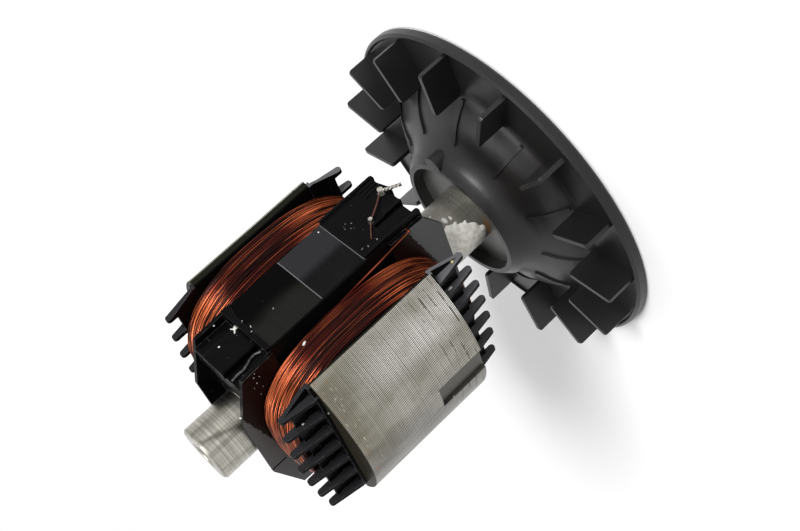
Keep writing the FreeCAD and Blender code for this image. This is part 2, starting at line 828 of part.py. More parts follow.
def main():
    os.makedirs("parts", exist_ok=True)
    save(core_stack(), "core_stack")
    save(core_rivets(), "core_rivets")
    save(shaft(), "shaft")
    save(free_end_insulator(), "free_end_insulator")
    save(fan_end_insulator(), "fan_end_insulator")
    save(coil(coil_outer_end_rise), "near_coil")
    save(mirrored_x(coil(far_coil_outer_end_rise)), "far_coil")
    save(liner(1, 1), "near_front_liner")
    save(liner(1, -1), "near_rear_liner")
    save(liner(-1, 1), "far_front_liner")
    save(liner(-1, -1), "far_rear_liner")
    save(tooth_film(), "tooth_film")
    save(free_end_diode(), "free_end_diode")
    save(diode_lead(), "diode_lead")
    save(fan_end_diode(), "fan_end_diode")
    link = link_wire()
    strands = twisted_lead_end()
    save(link, "link_wire")
    save(strands, "twisted_lead_end")
    save(solder_joint(upper_blob_place(), upper_blob_radius, [link] + strands.Solids),
         "upper_solder_joint")
    save(solder_joint(lower_blob_place(), lower_blob_radius, [link]), "lower_solder_joint")
    save(near_coil_lead(), "near_coil_lead")
    save(fan(), "fan")


main()
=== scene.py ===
# %% [markdown]
# This scene dresses a generator rotor: a laminated core on a shaft, two coils, moulded insulators and a fan.
# The solids come from the frame and stay where they are. The script gives them their finishes, rounds the
# moulded edges, winds the coils with single turns of wire, and adds the dried resin, the splashes and the
# specks that a used rotor shows. All this could be sculpted by hand, but a script can be read, changed and
# run again with the same result.

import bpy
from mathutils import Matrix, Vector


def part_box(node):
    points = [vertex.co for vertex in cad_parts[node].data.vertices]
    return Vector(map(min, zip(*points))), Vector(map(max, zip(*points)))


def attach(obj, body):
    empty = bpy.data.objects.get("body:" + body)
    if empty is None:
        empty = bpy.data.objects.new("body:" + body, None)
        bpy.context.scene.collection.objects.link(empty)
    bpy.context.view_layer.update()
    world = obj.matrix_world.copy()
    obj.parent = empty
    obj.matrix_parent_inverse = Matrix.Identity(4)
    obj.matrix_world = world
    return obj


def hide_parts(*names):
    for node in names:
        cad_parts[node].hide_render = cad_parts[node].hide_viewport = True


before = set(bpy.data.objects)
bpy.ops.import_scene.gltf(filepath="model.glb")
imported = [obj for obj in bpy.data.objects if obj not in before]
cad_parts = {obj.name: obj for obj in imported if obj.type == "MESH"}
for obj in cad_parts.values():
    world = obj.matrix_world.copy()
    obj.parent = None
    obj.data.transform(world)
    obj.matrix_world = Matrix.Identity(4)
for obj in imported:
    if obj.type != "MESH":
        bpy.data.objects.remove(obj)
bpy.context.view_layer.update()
print("frame holds", len(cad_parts), "nodes")

# %% Names used all through
import math

import bmesh
import bpy
from mathutils import Matrix, Vector

MM = 0.001
BODY = "root"
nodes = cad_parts


def box_mm(name):
    """Lowest and highest corner of a node, in millimetres."""
    low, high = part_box(name)
    return [v / MM for v in low], [v / MM for v in high]


core_low_z = box_mm("core_stack")[0][2]
core_high_z = box_mm("core_stack")[1][2]
core_radius = box_mm("core_stack")[1][0]
tooth_top_y = box_mm("tooth_film")[0][1]
film_top_y = box_mm("tooth_film")[1][1]
shaft_radius = box_mm("shaft")[1][0]
print("core from %.1f to %.1f mm, radius %.1f mm" % (core_low_z, core_high_z, core_radius))

# %% [markdown]
# Every finish is a small node tree. Colours are written the way a paint chart gives them, as sRGB hex
# values, and one function turns them into the linear numbers that the renderer works in. One more function
# adds a node with its settings and links. Its inputs come by name or in order, and a node given as an input
# is linked by its first output, so a finish reads as a list of what it is made of.

# %% Colours and nodes
MATH = "ShaderNodeMath"
VECTOR = "ShaderNodeVectorMath"
RANGE = "ShaderNodeMapRange"
# A range goes smoothly from 0 at its first limit to 1 at its second. With the higher limit first, it falls.
SMOOTH = {"interpolation_type": "SMOOTHSTEP"}


def linear(code):
    """A hex colour such as #8a8a8a as linear red, green, blue and a full alpha."""
    parts = [int(code[i:i + 2], 16) / 255 for i in (1, 3, 5)]
    parts = [c / 12.92 if c <= 0.04045 else ((c + 0.055) / 1.055) ** 2.4 for c in parts]
    return (*parts, 1.0)


def connect(tree, node, inputs):
    """Links nodes and sockets to a node's inputs, by name or in order, and sets anything else as a value."""
    sockets = [socket for socket in node.inputs if socket.enabled]
    if isinstance(inputs, dict):
        pairs = [(next(s for s in sockets if s.name == name), value) for name, value in inputs.items()]
    else:
        pairs = list(zip(sockets, inputs))
    for socket, value in pairs:
        if isinstance(value, bpy.types.Node):
            value = next(s for s in value.outputs if s.enabled)
        if isinstance(value, bpy.types.NodeSocket):
            tree.links.new(value, socket)
        else:
            socket.default_value = value


def add(tree, kind, inputs=(), **settings):
    """Adds a node of a kind with its settings and its inputs."""
    node = tree.nodes.new(kind)
    for name, value in settings.items():
        setattr(node, name, value)
    connect(tree, node, inputs)
    return node


def finish_named(name, roughness, metallic=0.0, **sockets):
    """A new material whose even values are set on the shader's own sockets."""
    finish = bpy.data.materials.new(name)
    finish.use_nodes = True
    tree = finish.node_tree
    tree.nodes.clear()
    even = {"Roughness": roughness, "Metallic": metallic}
    even.update({key.replace("_", " "): value for key, value in sockets.items()})
    shader = add(tree, "ShaderNodeBsdfPrincipled", even)
    add(tree, "ShaderNodeOutputMaterial", {"Surface": shader})
    return finish, tree, shader


print("paint chart ready, #808080 is", [round(v, 3) for v in linear("#808080")])

# %% [markdown]
# The finishes share a few patterns. Each could be painted on a picture that is laid over the piece, but a
# pattern worked out from the place itself has no seams and keeps its real size in millimetres. So a finish
# first measures where it is, then makes masks from 0 to 1, and lays one tint after another over its colour.

# %% Places, masks and tints


def measured(tree):
    """Where a place lies, as X, Y and Z in millimetres."""
    point = add(tree, "ShaderNodeTexCoord").outputs["Object"]
    counted = add(tree, VECTOR, [point, 1 / MM], operation="SCALE")
    return add(tree, "ShaderNodeSeparateXYZ", [counted]).outputs


def axis_distance(tree):
    """How far a place lies from the shaft's axis, in millimetres."""
    point = add(tree, "ShaderNodeTexCoord").outputs["Object"]
    across = add(tree, VECTOR, [point, Vector((1 / MM, 1 / MM, 0))], operation="MULTIPLY")
    return add(tree, VECTOR, [across], operation="LENGTH")


def facing(tree):
    """How squarely a place faces X, Y and Z, from 0 to 1."""
    normal = add(tree, "ShaderNodeNewGeometry").outputs["Normal"]
    size = add(tree, VECTOR, [normal], operation="ABSOLUTE")
    return add(tree, "ShaderNodeSeparateXYZ", [size]).outputs


def grain(tree, size_mm, detail=2.0, rough=0.5):
    """Cloudy noise whose lumps are about size_mm along X, Y and Z."""
    point = add(tree, "ShaderNodeTexCoord").outputs["Object"]
    steps = Vector([1 / (size * MM) for size in size_mm])
    counted = add(tree, VECTOR, [point, steps], operation="MULTIPLY")
    return add(tree, "ShaderNodeTexNoise", {
        "Vector": counted, "Scale": 1.0, "Detail": detail, "Roughness": rough})


def patches(tree, size_mm, low, high, detail=2.0, rough=0.5):
    """Grain made into patches: 0 where it is below low, and 1 where it is above high."""
    return add(tree, RANGE, [grain(tree, size_mm, detail, rough), low, high], **SMOOTH)


def ruled_lines(tree, height, pitch):
    """A smooth wave from 0 to 1 along a height, one wave a pitch."""
    turn = add(tree, MATH, [height, 2 * math.pi / pitch], operation="MULTIPLY")
    wave = add(tree, MATH, [turn], operation="SINE")
    return add(tree, MATH, [wave, 0.5, 0.5], operation="MULTIPLY_ADD")


def overlap(tree, *masks):
    """1 where every mask is 1. A plain number among them weakens the rest."""
    share = masks[0]
    for mask in masks[1:]:
        share = add(tree, MATH, [share, mask], operation="MULTIPLY")
    return share


def tinted(tree, colour, tint, *masks):
    """Lays a tint over a colour where the masks overlap. Each is a hex code or a node."""
    pair = [linear(one) if isinstance(one, str) else one for one in (colour, tint)]
    return add(tree, "ShaderNodeMix", [overlap(tree, *masks), *pair], data_type="RGBA")


print("patterns ready")

# %% [markdown]
# The core is a stack of thin sheets of electrical steel, punched and pressed together. Its round outside is
# turned true, so the sheets' edges show there as fine lines across the axis, with a few stained rows and
# scratches near the ends. The cut for balancing is milled, and everything else keeps the black varnish that
# the stack was dipped in. A hundred modelled sheets would cost many faces for lines half a millimetre apart,
# so one finish draws them, and tells these places apart by their distance from the shaft's axis.

# %% Lamination steel
sheet_pitch = 0.5
sheet_unevenness = 0.24
row_pitch = 3.3
row_raggedness = 0.9
painted_highlight_y = 25.0
turned_from = core_radius - 0.35
milled_from = core_radius - 1.75
notch_from_x = 44.0
shoe_from = 44.5


def turned_sheet_edges(tree, place, sheets, lines, tone):
    """The turned outside: pale edges with a painted highlight in one band and a painted sheen in patches,
    painted shade on the low side, and oily or stained elsewhere.
    """
    height = place["Z"]
    steel = tinted(tree, "#bebbaf", "#ccc8be", add(tree, RANGE, [tone, 0.35, 0.65], **SMOOTH))
    # A band along the axis is painted lighter and fades towards the free end, as a painted highlight.
    from_painted_highlight = add(tree, MATH, [place["Y"], painted_highlight_y], operation="SUBTRACT")
    off_painted_highlight = add(tree, MATH, [from_painted_highlight], operation="ABSOLUTE")
    painted_highlight = add(tree, RANGE, [off_painted_highlight, 9.0, 1.0], **SMOOTH)
    highlight_fading = add(tree, RANGE, [height, core_high_z + 8, core_low_z], **SMOOTH)
    steel = tinted(tree, steel, "#fffcf6", painted_highlight, highlight_fading)
    steel = tinted(tree, steel, "#6e6a60", sheets, 0.25)
    steel = tinted(tree, steel, "#16140f", add(tree, RANGE, [lines, 0.25, 0.70], **SMOOTH))
    oil_line = add(tree, MATH, [tone, 22.0, height], operation="MULTIPLY_ADD")
    oily = add(tree, RANGE, [oil_line, core_high_z - 10, core_high_z + 6], **SMOOTH)
    steel = tinted(tree, steel, "#5d5846", oily, 0.62)
    # The low side is painted darker, as painted shade.
    painted_shade_low_side = add(tree, RANGE, [place["Y"], 10.0, -12.0], **SMOOTH)
    steel = tinted(tree, steel, "#626263", painted_shade_low_side, 0.55)
    # Pale patches at random are a painted sheen.
    steel = tinted(tree, steel, "#e4e1d8", patches(tree, (14, 14, 30), 0.45, 0.65, 2.0, 0.6), 0.12)
    steel = tinted(tree, steel, "#767462", patches(tree, (9, 9, 8), 0.57, 0.70, 3.0), 0.30)
    near_top = add(tree, RANGE, [height, core_high_z - 9, core_high_z - 3], **SMOOTH)
    steel = tinted(tree, steel, "#8a6444", patches(tree, (4, 4, 3), 0.60, 0.72), near_top, 0.5)
    ragged = grain(tree, (0.9, 0.9, 0.9), 1.0)
    ragged_z = add(tree, MATH, [ragged, row_raggedness, height], operation="MULTIPLY_ADD")
    stained_row = add(tree, RANGE, [ruled_lines(tree, ragged_z, row_pitch), 0.88, 0.99], **SMOOTH)
    broken = patches(tree, (6, 6, 1.8), 0.44, 0.56, 3.0, 0.6)
    near_fan = add(tree, RANGE, [height, core_low_z + 17, core_low_z + 8], **SMOOTH)
    steel = tinted(tree, steel, "#3c3227", stained_row, broken, near_fan, 0.8)
    scratches = patches(tree, (3.2, 3.2, 0.3), 0.70, 0.74, 1.0)
    return tinted(tree, steel, "#d9d5bd", scratches, near_top, 0.8)


def dipping_varnish(tree, place, radius, lines, tone, ends, sides):
    """The black varnish: its sheet lines are painted lighter towards +X, as a painted reflection, and it is
    thin on the ends.
    """
    # The sheets' lines show lighter only towards +X, as a painted reflection.
    reflection_edge_x = add(tree, MATH, [tone, 6.0, place["X"]], operation="MULTIPLY_ADD")
    shows = add(tree, RANGE, [reflection_edge_x, 0.0, 7.0], **SMOOTH)
    varnish = tinted(tree, "#040404", "#2b2c28", lines, shows, 0.85)
    varnish = tinted(tree, varnish, "#211f18", ends)
    shoe = add(tree, RANGE, [radius, shoe_from, shoe_from + 1], **SMOOTH)
    return tinted(tree, varnish, "#1c1d17", shoe, sides)


def lamination_steel():
    finish, tree, shader = finish_named("turned electrical steel laminations", 0.38, Specular_IOR_Level=0.02)
    place = measured(tree)
    radius = axis_distance(tree)
    looks = facing(tree)
    tone = grain(tree, (16, 16, 14))
    sheets = grain(tree, (90, 90, 0.7), 1.0)
    # Perfectly even lines would shimmer in a small picture, and real sheets differ a little in any case.
    uneven_z = add(tree, MATH, [sheets, sheet_unevenness, place["Z"]], operation="MULTIPLY_ADD")
    lines = ruled_lines(tree, uneven_z, sheet_pitch)
    ends = add(tree, RANGE, [looks["Z"], 0.85, 0.95], **SMOOTH)
    sides = add(tree, MATH, [1.0, ends], operation="SUBTRACT")
    turned = add(tree, RANGE, [radius, turned_from, turned_from + 0.1], **SMOOTH)
    in_notch = overlap(tree, add(tree, RANGE, [radius, milled_from, milled_from + 0.1], **SMOOTH),
                       add(tree, RANGE, [place["X"], notch_from_x, notch_from_x + 0.2], **SMOOTH))
    cut = add(tree, MATH, [in_notch, turned], operation="MAXIMUM")
    bare = overlap(tree, cut, sides)
    steel = turned_sheet_edges(tree, place, sheets, lines, tone)
    metal = tinted(tree, "#565450", steel, turned)
    varnish = dipping_varnish(tree, place, radius, lines, tone, ends, sides)
    steps = add(tree, "ShaderNodeBump", {"Height": lines, "Distance": 0.02 * MM, "Strength": 0.35})
    connect(tree, shader, {"Base Color": tinted(tree, varnish, metal, bare),
                           "Metallic": overlap(tree, bare, 0.8), "Normal": steps})
    return finish


steel_stack = lamination_steel()
print("made", steel_stack.name, "with", len(steel_stack.node_tree.nodes), "nodes")

# %% [markdown]
# The shaft is turned and ground carbon steel. Duller bands run along it, and the lathe leaves fine rings round
# it. The stretch between the core and the fan is darker than the ground free end, and where the fan is pressed
# on, damp has left a ring of light rust. The rings could be modelled as grooves, but they are far finer than
# the picture shows, so bump and colour give them.

# %% Turned steel
rust_top = 20.4
smear_start_x = 3.0
smear_start_z = 145.0
smear_slant = 0.3
# Real turning marks are about 0.1 mm apart. They are drawn coarser here, or they wouldn't show.
groove_pitch = 0.8


def oil_smear(tree, place, cloud):
    """A slanting smear on the tooth side of the free end."""
    along = add(tree, MATH, [smear_start_z, place["Z"]], operation="SUBTRACT")
    middle = add(tree, MATH, [along, smear_slant, smear_start_x], operation="MULTIPLY_ADD")
    from_middle = add(tree, MATH, [place["X"], middle], operation="SUBTRACT")
    off_middle = add(tree, MATH, [from_middle], operation="ABSOLUTE")
    ragged = add(tree, MATH, [cloud, 2.0, off_middle], operation="MULTIPLY_ADD")
    tooth_side = add(tree, MATH, [place["Y"], 0.0], operation="GREATER_THAN")
    return overlap(tree, add(tree, RANGE, [ragged, 2.6, 0.8], **SMOOTH), tooth_side)


def rust_ring(tree, place, low_end):
    """Light rust where the fan is pressed on, with a ragged upper edge."""
    patchy = grain(tree, (2.2, 2.2, 1.2), 3.0)
    edge = add(tree, MATH, [patchy, 3.0, rust_top - 2.4], operation="MULTIPLY_ADD")
    below_edge = add(tree, MATH, [place["Z"], edge], operation="LESS_THAN")
    near_side = add(tree, RANGE, [place["Y"], 7.0, 1.0], **SMOOTH)
    return overlap(tree, low_end, below_edge, near_side, add(tree, RANGE, [patchy, 0.25, 0.50], **SMOOTH))


def turned_steel():
    """Bright metal with a sharp streak of light along it, broken by duller bands."""
    finish, tree, shader = finish_named("turned carbon steel", 0.30, 1.0)
    place = measured(tree)
    rings = grain(tree, (40, 40, 0.4), 1.0)
    cloud = grain(tree, (3.5, 3.5, 5), 3.0)
    steel = tinted(tree, "#8b8980", "#b5b2a9", add(tree, RANGE, [rings, 0.30, 0.70], **SMOOTH))
    steel = tinted(tree, steel, "#605c53", patches(tree, (3.4, 3.4, 70), 0.50, 0.70, 2.0, 0.6), 0.55)
    steel = tinted(tree, steel, "#7b776d", add(tree, RANGE, [cloud, 0.55, 0.75], **SMOOTH), 0.5)
    grooves = ruled_lines(tree, place["Z"], groove_pitch)
    steel = tinted(tree, steel, "#55524a", grooves, patches(tree, (2.4, 2.4, 14), 0.52, 0.62, 1.0), 0.12)
    steel = tinted(tree, steel, "#4b4841", oil_smear(tree, place, cloud), 0.7)
    low_end = add(tree, RANGE, [place["Z"], core_low_z, core_low_z - 2], **SMOOTH)
    steel = tinted(tree, steel, "#5c5a51", low_end, 0.62)
    rust = rust_ring(tree, place, low_end)
    steel = tinted(tree, steel, "#9a6838", rust)
    dull = add(tree, MATH, [rust, overlap(tree, low_end, 0.5)], operation="MAXIMUM")
    ridges = add(tree, "ShaderNodeBump", {"Height": rings, "Distance": 0.02 * MM, "Strength": 0.4})
    connect(tree, shader, {
        "Base Color": steel, "Metallic": add(tree, MATH, [1.0, dull], operation="SUBTRACT"),
        "Roughness": add(tree, MATH, [cloud, 0.22, 0.2], operation="MULTIPLY_ADD"), "Normal": ridges})
    return finish


shaft_steel = turned_steel()
print("made", shaft_steel.name, "with", len(shaft_steel.node_tree.nodes), "nodes")

# %% [markdown]
# The end insulators are moulded from glass-filled nylon. They are black and shiny where the coils' varnish has
# run over them, and plain grey where it never reached, as on the fingers. On the cheeks' outer faces a reddish
# tint is a painted reflection of the copper, and a paler grey towards their ends is a painted sheen. Separate
# materials on separate faces would give straight borders, so one finish finds these places by their position
# and by the way they face, and a fine grain makes the borders ragged.

# %% Varnished nylon
cheek_face = 13.6
# Each line where the painted sheen on a cheek begins rises with Y, from its height at the shaft's axis.
fan_line_z, fan_line_slope = 41.2, 0.28
free_line_z, free_line_slope = 126.5, 0.25
comb_from_x = 29.8


def varnished_nylon():
    """Near black with broad soft gloss, because the varnish fills the moulded grain."""
    finish, tree, shader = finish_named("varnished black nylon", 0.3, Specular_IOR_Level=0.035, IOR=1.53)
    place = measured(tree)
    looks = facing(tree)
    cloud = grain(tree, (6, 6, 6), 3.0)
    side_x = add(tree, MATH, [place["X"]], operation="ABSOLUTE")
    at_cheek = add(tree, MATH, [side_x, cheek_face, 0.3], operation="COMPARE")
    on_cheek = overlap(tree, at_cheek, add(tree, RANGE, [looks["X"], 0.85, 0.95], **SMOOTH))
    colour = tinted(tree, "#040405", "#0c0b0c", cloud)
    # The reddish tint on the cheeks' outer faces is a painted reflection of the copper coils.
    colour = tinted(tree, colour, "#1d0f0c", on_cheek, 0.8)
    around_zero = add(tree, MATH, [grain(tree, (0.9, 0.9, 0.9)), 0.5], operation="SUBTRACT")
    edge = add(tree, MATH, [around_zero, 2.4, place["Z"]], operation="MULTIPLY_ADD")
    fan_line = add(tree, MATH, [place["Y"], fan_line_slope, fan_line_z], operation="MULTIPLY_ADD")
    free_line = add(tree, MATH, [place["Y"], free_line_slope, free_line_z], operation="MULTIPLY_ADD")
    past_fan_line = add(tree, MATH, [edge, fan_line], operation="LESS_THAN")
    past_free_line = add(tree, MATH, [edge, free_line], operation="GREATER_THAN")
    painted_sheen_ends = add(tree, MATH, [past_fan_line, past_free_line], operation="MAXIMUM")
    # Beyond the two lines the cheeks are painted paler grey, as a painted sheen.
    colour = tinted(tree, colour, "#5b5b5c", on_cheek, painted_sheen_ends)
    at_comb = add(tree, MATH, [side_x, comb_from_x], operation="GREATER_THAN")
    on_comb = overlap(tree, at_comb, add(tree, RANGE, [looks["Y"], 0.8, 0.95], **SMOOTH))
    fan_side = add(tree, MATH, [place["Z"], core_low_z], operation="LESS_THAN")
    dry = tinted(tree, "#29292b", "#5d5d60", fan_side)
    grainy = add(tree, "ShaderNodeBump", {
        "Height": grain(tree, (1.6, 1.6, 1.6)), "Distance": 0.05 * MM, "Strength": 0.25})
    connect(tree, shader, {
        "Base Color": tinted(tree, colour, dry, on_comb, 0.9),
        "Roughness": add(tree, MATH, [cloud, 0.3, 0.16], operation="MULTIPLY_ADD"), "Normal": grainy})
    return finish


black_nylon = varnished_nylon()
print("made", black_nylon.name)

# %% [markdown]
# The fan is moulded too, from a duller grade that shows as charcoal, and the recess round the shaft is painted
# paler, as painted light. The slots and the tooth are lined with thin sheets, and the film on the tooth is
# painted lighter towards one side, as a painted reflection. Edges get a paler finish of their own, partly wear
# where they are rubbed bare and partly a painted highlight, which the rounded copies further on give only to
# their bevelled faces.

# %% Charcoal nylon, edges with wear and painted highlight, and sheets
recess_radius = 23.2
# The tray's ribs stand higher than the tooth, and their edges stay dark, with neither wear nor painted
# highlight.
wear_and_highlight_below_y = tooth_top_y + 0.3
film_low_z, film_high_z = (corner[2] for corner in box_mm("tooth_film"))
film_middle_z = (film_low_z + film_high_z) / 2
film_rim = (film_high_z - film_low_z) / 2 - 0.3


def fan_nylon():
    """Even charcoal with a satin gloss and a barely visible moulded grain."""
    finish, tree, shader = finish_named("moulded charcoal nylon", 0.4, Specular_IOR_Level=0.3, IOR=1.53)
    cloud = grain(tree, (22, 22, 14), 3.0)
    in_recess = add(tree, RANGE, [axis_distance(tree), recess_radius + 0.6, recess_radius], **SMOOTH)
    colour = tinted(tree, "#101010", "#1b1b1b", cloud)
    grainy = add(tree, "ShaderNodeBump", {
        "Height": grain(tree, (0.9, 0.9, 0.9)), "Distance": 0.02 * MM, "Strength": 0.3})
    connect(tree, shader, {
        # The recess round the shaft is painted paler, as painted light.
        "Base Color": tinted(tree, colour, "#4c4c4a", in_recess),
        "Roughness": add(tree, MATH, [cloud, 0.14, 0.30], operation="MULTIPLY_ADD"), "Normal": grainy})
    return finish


def wear_and_highlight_edge(name, dark, light):
    """Patches of paler plastic on an edge: partly wear where handling has taken the gloss off, and partly a
    painted highlight.
    """
    finish, tree, shader = finish_named(name, 0.4, Specular_IOR_Level=0.25)
    in_reach = add(tree, MATH, [measured(tree)["Y"], wear_and_highlight_below_y], operation="LESS_THAN")
    edge_wear_and_highlight = patches(tree, (2.8, 2.8, 2.8), 0.42, 0.62, 3.0)
    connect(tree, shader, {"Base Color": tinted(tree, dark, light, edge_wear_and_highlight, in_reach)})
    return finish


def insulating_sheet(name, dark, light, reflection_and_cut_ends):
    """Smooth dark sheet. Its last argument, at 1, lightens it towards one side as a painted reflection, and
    lightens its two cut ends.
    """
    finish, tree, shader = finish_named(name, 0.34, Specular_IOR_Level=0.04, IOR=1.5)
    place = measured(tree)
    cloud = grain(tree, (9, 9, 12))
    # Towards -X the sheet is painted lighter, as a painted reflection.
    across = add(tree, MATH, [cloud, 3.0, place["X"]], operation="MULTIPLY_ADD")
    painted_reflection = overlap(tree, add(tree, RANGE, [across, 4.0, -1.0], **SMOOTH), reflection_and_cut_ends)
    tone = add(tree, MATH, [cloud, 0.3, painted_reflection], operation="MULTIPLY_ADD")
    from_middle = add(tree, MATH, [place["Z"], film_middle_z], operation="SUBTRACT")
    off_middle = add(tree, MATH, [from_middle], operation="ABSOLUTE")
    cut_end = add(tree, MATH, [off_middle, film_rim], operation="GREATER_THAN")
    colour = tinted(tree, dark, light, tone)
    connect(tree, shader, {"Base Color": tinted(tree, colour, "#77787a", cut_end, reflection_and_cut_ends, 0.6)})
    return finish


charcoal_nylon = fan_nylon()
black_edge = wear_and_highlight_edge("rubbed black nylon edge", "#101011", "#58585a")
charcoal_edge = wear_and_highlight_edge("rubbed charcoal nylon edge", "#232324", "#4b4b4a")
pressboard = insulating_sheet("varnished pressboard", "#080808", "#141414", 0.0)
film_sheet = insulating_sheet("polyester film", "#070708", "#262628", 1.0)
print("made", charcoal_nylon.name, "and", film_sheet.name)

# %% [markdown]
# The coils are wound from round copper wire with a clear red-brown enamel. The eye sees deep brown between the
# turns and a broken bright line along the top of each one, so the enamel is half metallic under a thin clear
# coat. Here the deep brown between the turns is painted shade, and bright streaks along the turns are painted
# highlights. The bends at the ends are painted brighter as a painted highlight, and the turns in the middle
# darker as painted shade. The grain is drawn long in Z and narrow in X, because the turns run that way.

# %% Enamelled copper


def enamelled_copper(name, dark, light, bright):
    finish, tree, shader = finish_named(name, 0.30, 0.6, Coat_Weight=0.06, Coat_Roughness=0.12,
                                        Specular_IOR_Level=0.15)
    height = measured(tree)["Z"]
    strand = grain(tree, (0.8, 14, 45), 1.0)
    colour = tinted(tree, dark, light, add(tree, RANGE, [strand, 0.40, 0.62], **SMOOTH))
    # Thin bright streaks along the turns are painted highlights.
    colour = tinted(tree, colour, bright, patches(tree, (0.45, 9, 70), 0.58, 0.66, 1.0), 0.7)
    # The bends at both ends are painted brighter, as a painted highlight, and the middle of the coil darker, as
    # painted shade.
    top_bend = add(tree, RANGE, [height, core_high_z - 10, core_high_z + 8], **SMOOTH)
    low_bend = add(tree, RANGE, [height, core_low_z + 22, core_low_z + 2], **SMOOTH)
    bends = add(tree, MATH, [top_bend, overlap(tree, low_bend, 0.8)], operation="MAXIMUM")
    painted_light_level = add(tree, MATH, [grain(tree, (5, 4, 14)), 0.35, bends], operation="MULTIPLY_ADD")
    along_strand = add(tree, RANGE, [strand, 0.40, 0.60], **SMOOTH)
    streaks = add(tree, MATH, [along_strand, 0.05], operation="ADD")
    colour = tinted(tree, colour, bright, add(tree, RANGE, [painted_light_level, 0.2, 1.1], **SMOOTH), streaks)
    # The sides of each turn, which face X, are painted darker, as painted shade between the turns.
    between_turns = add(tree, RANGE, [facing(tree)["X"], 0.35, 0.75], **SMOOTH)
    colour = tinted(tree, colour, dark, between_turns, 0.85)
    # The middle of the coil is painted darker, as painted shade.
    painted_shade_middle = add(tree, RANGE, [painted_light_level, 0.42, 0.05], **SMOOTH)
    connect(tree, shader, {"Base Color": tinted(tree, colour, dark, painted_shade_middle, 0.7)})
    return finish


copper_wire = enamelled_copper("enamelled copper wire", "#1c0503", "#6f1f0e", "#df7347")
copper_depth = enamelled_copper("enamelled copper in shade", "#0d0302", "#1f0905", "#35120a")
print("made", copper_wire.name, "and", copper_depth.name)

# %% [markdown]
# The small things are nearly even in colour: bright tinned joints, resin that has dried dull and pale, flux
# that has browned the link wire, drops and dust. One function serves them all. It mottles a colour with
# another one, at the size that the real blotches have, because a perfectly even colour looks like paint.

# %% Tin, resin and drops


def plain_finish(name, code, roughness, metallic=0.0, mottle="#ffffff", mottle_mm=1.5, share=0.0):
    """A nearly even finish with a little mottling of another colour."""
    finish, tree, shader = finish_named(name, roughness, metallic)
    blotches = patches(tree, (mottle_mm, mottle_mm, mottle_mm), 0.4, 0.65, 3.0)
    connect(tree, shader, {"Base Color": tinted(tree, code, mottle, blotches, share)})
    return finish


tinned = plain_finish("tinned solder", "#b9b7b0", 0.24, 1.0, "#8c877a", 0.8, 0.6)
resin = plain_finish("dried epoxy resin", "#efede4", 0.4, 0.0, "#989382", 1.8, 0.35)
amber = plain_finish("amber flux residue", "#a99f63", 0.3, 0.0, "#cfc9a2", 0.6, 0.6)
varnish_drop = plain_finish("pale varnish specks", "#d8d6d0", 0.35, 0.0, "#9a9a98", 0.7, 0.5)
dust = plain_finish("grey dust specks", "#7c7c7a", 0.7, 0.0, "#3c3c3c", 0.7, 0.8)
sleeve = plain_finish("silicone sleeving", "#1a1a1a", 0.4, 0.0, "#55544f", 1.2, 0.6)
dull_copper = plain_finish("fluxed copper wire", "#5e3127", 0.4, 0.3, "#2f150f", 1.6, 0.6)
print("made seven small finishes, among them", resin.name)

# %% [markdown]
# Each solid now takes its finish. Its shape is already right, so only the material in its slot changes, and
# the solid isn't moved or remade.

# %% Finishes for the solids
finish_of = {
    "core_stack": steel_stack,
    "core_rivets": shaft_steel,
    "shaft": shaft_steel,
    "free_end_insulator": black_nylon,
    "fan_end_insulator": black_nylon,
    "near_coil": copper_depth,
    "far_coil": copper_depth,
    "near_front_liner": pressboard,
    "near_rear_liner": pressboard,
    "far_front_liner": pressboard,
    "far_rear_liner": pressboard,
    "tooth_film": film_sheet,
    "free_end_diode": black_nylon,
    "diode_lead": sleeve,
    "fan_end_diode": black_nylon,
    "link_wire": dull_copper,
    "twisted_lead_end": tinned,
    "upper_solder_joint": tinned,
    "lower_solder_joint": tinned,
    "near_coil_lead": copper_wire,
    "fan": charcoal_nylon,
}
for name, finish in finish_of.items():
    mesh = nodes[name].data
    mesh.materials.clear()
    mesh.materials.append(finish)
print("finished", len(finish_of), "solids")

# %% [markdown]
# A real moulding has small roundings that catch the light, and the solids' edges are sharp. Rounding them
# could be faked with a bevel in the shader, but the exported mesh would lose it. The solids come as loose
# triangles, so a copy is merged and its flat faces joined, its edges are bevelled by angle, and the copy
# stands for the solid.

# %% Rounded copies of the moulded pieces
merge_mm = 0.002
flat_degrees = 0.6
crease_degrees = 35


def plain_mesh(source):
    """The evaluated shape of an object as a mesh of its own."""
    seen = source.evaluated_get(bpy.context.evaluated_depsgraph_get())
    return bpy.data.meshes.new_from_object(seen)


def new_piece(name, mesh, finish):
    """Puts a finished mesh into the scene as a piece that rides on the rotor."""
    mesh.materials.clear()
    mesh.materials.append(finish)
    piece = bpy.data.objects.new(name, mesh)
    bpy.context.scene.collection.objects.link(piece)
    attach(piece, BODY)
    return piece


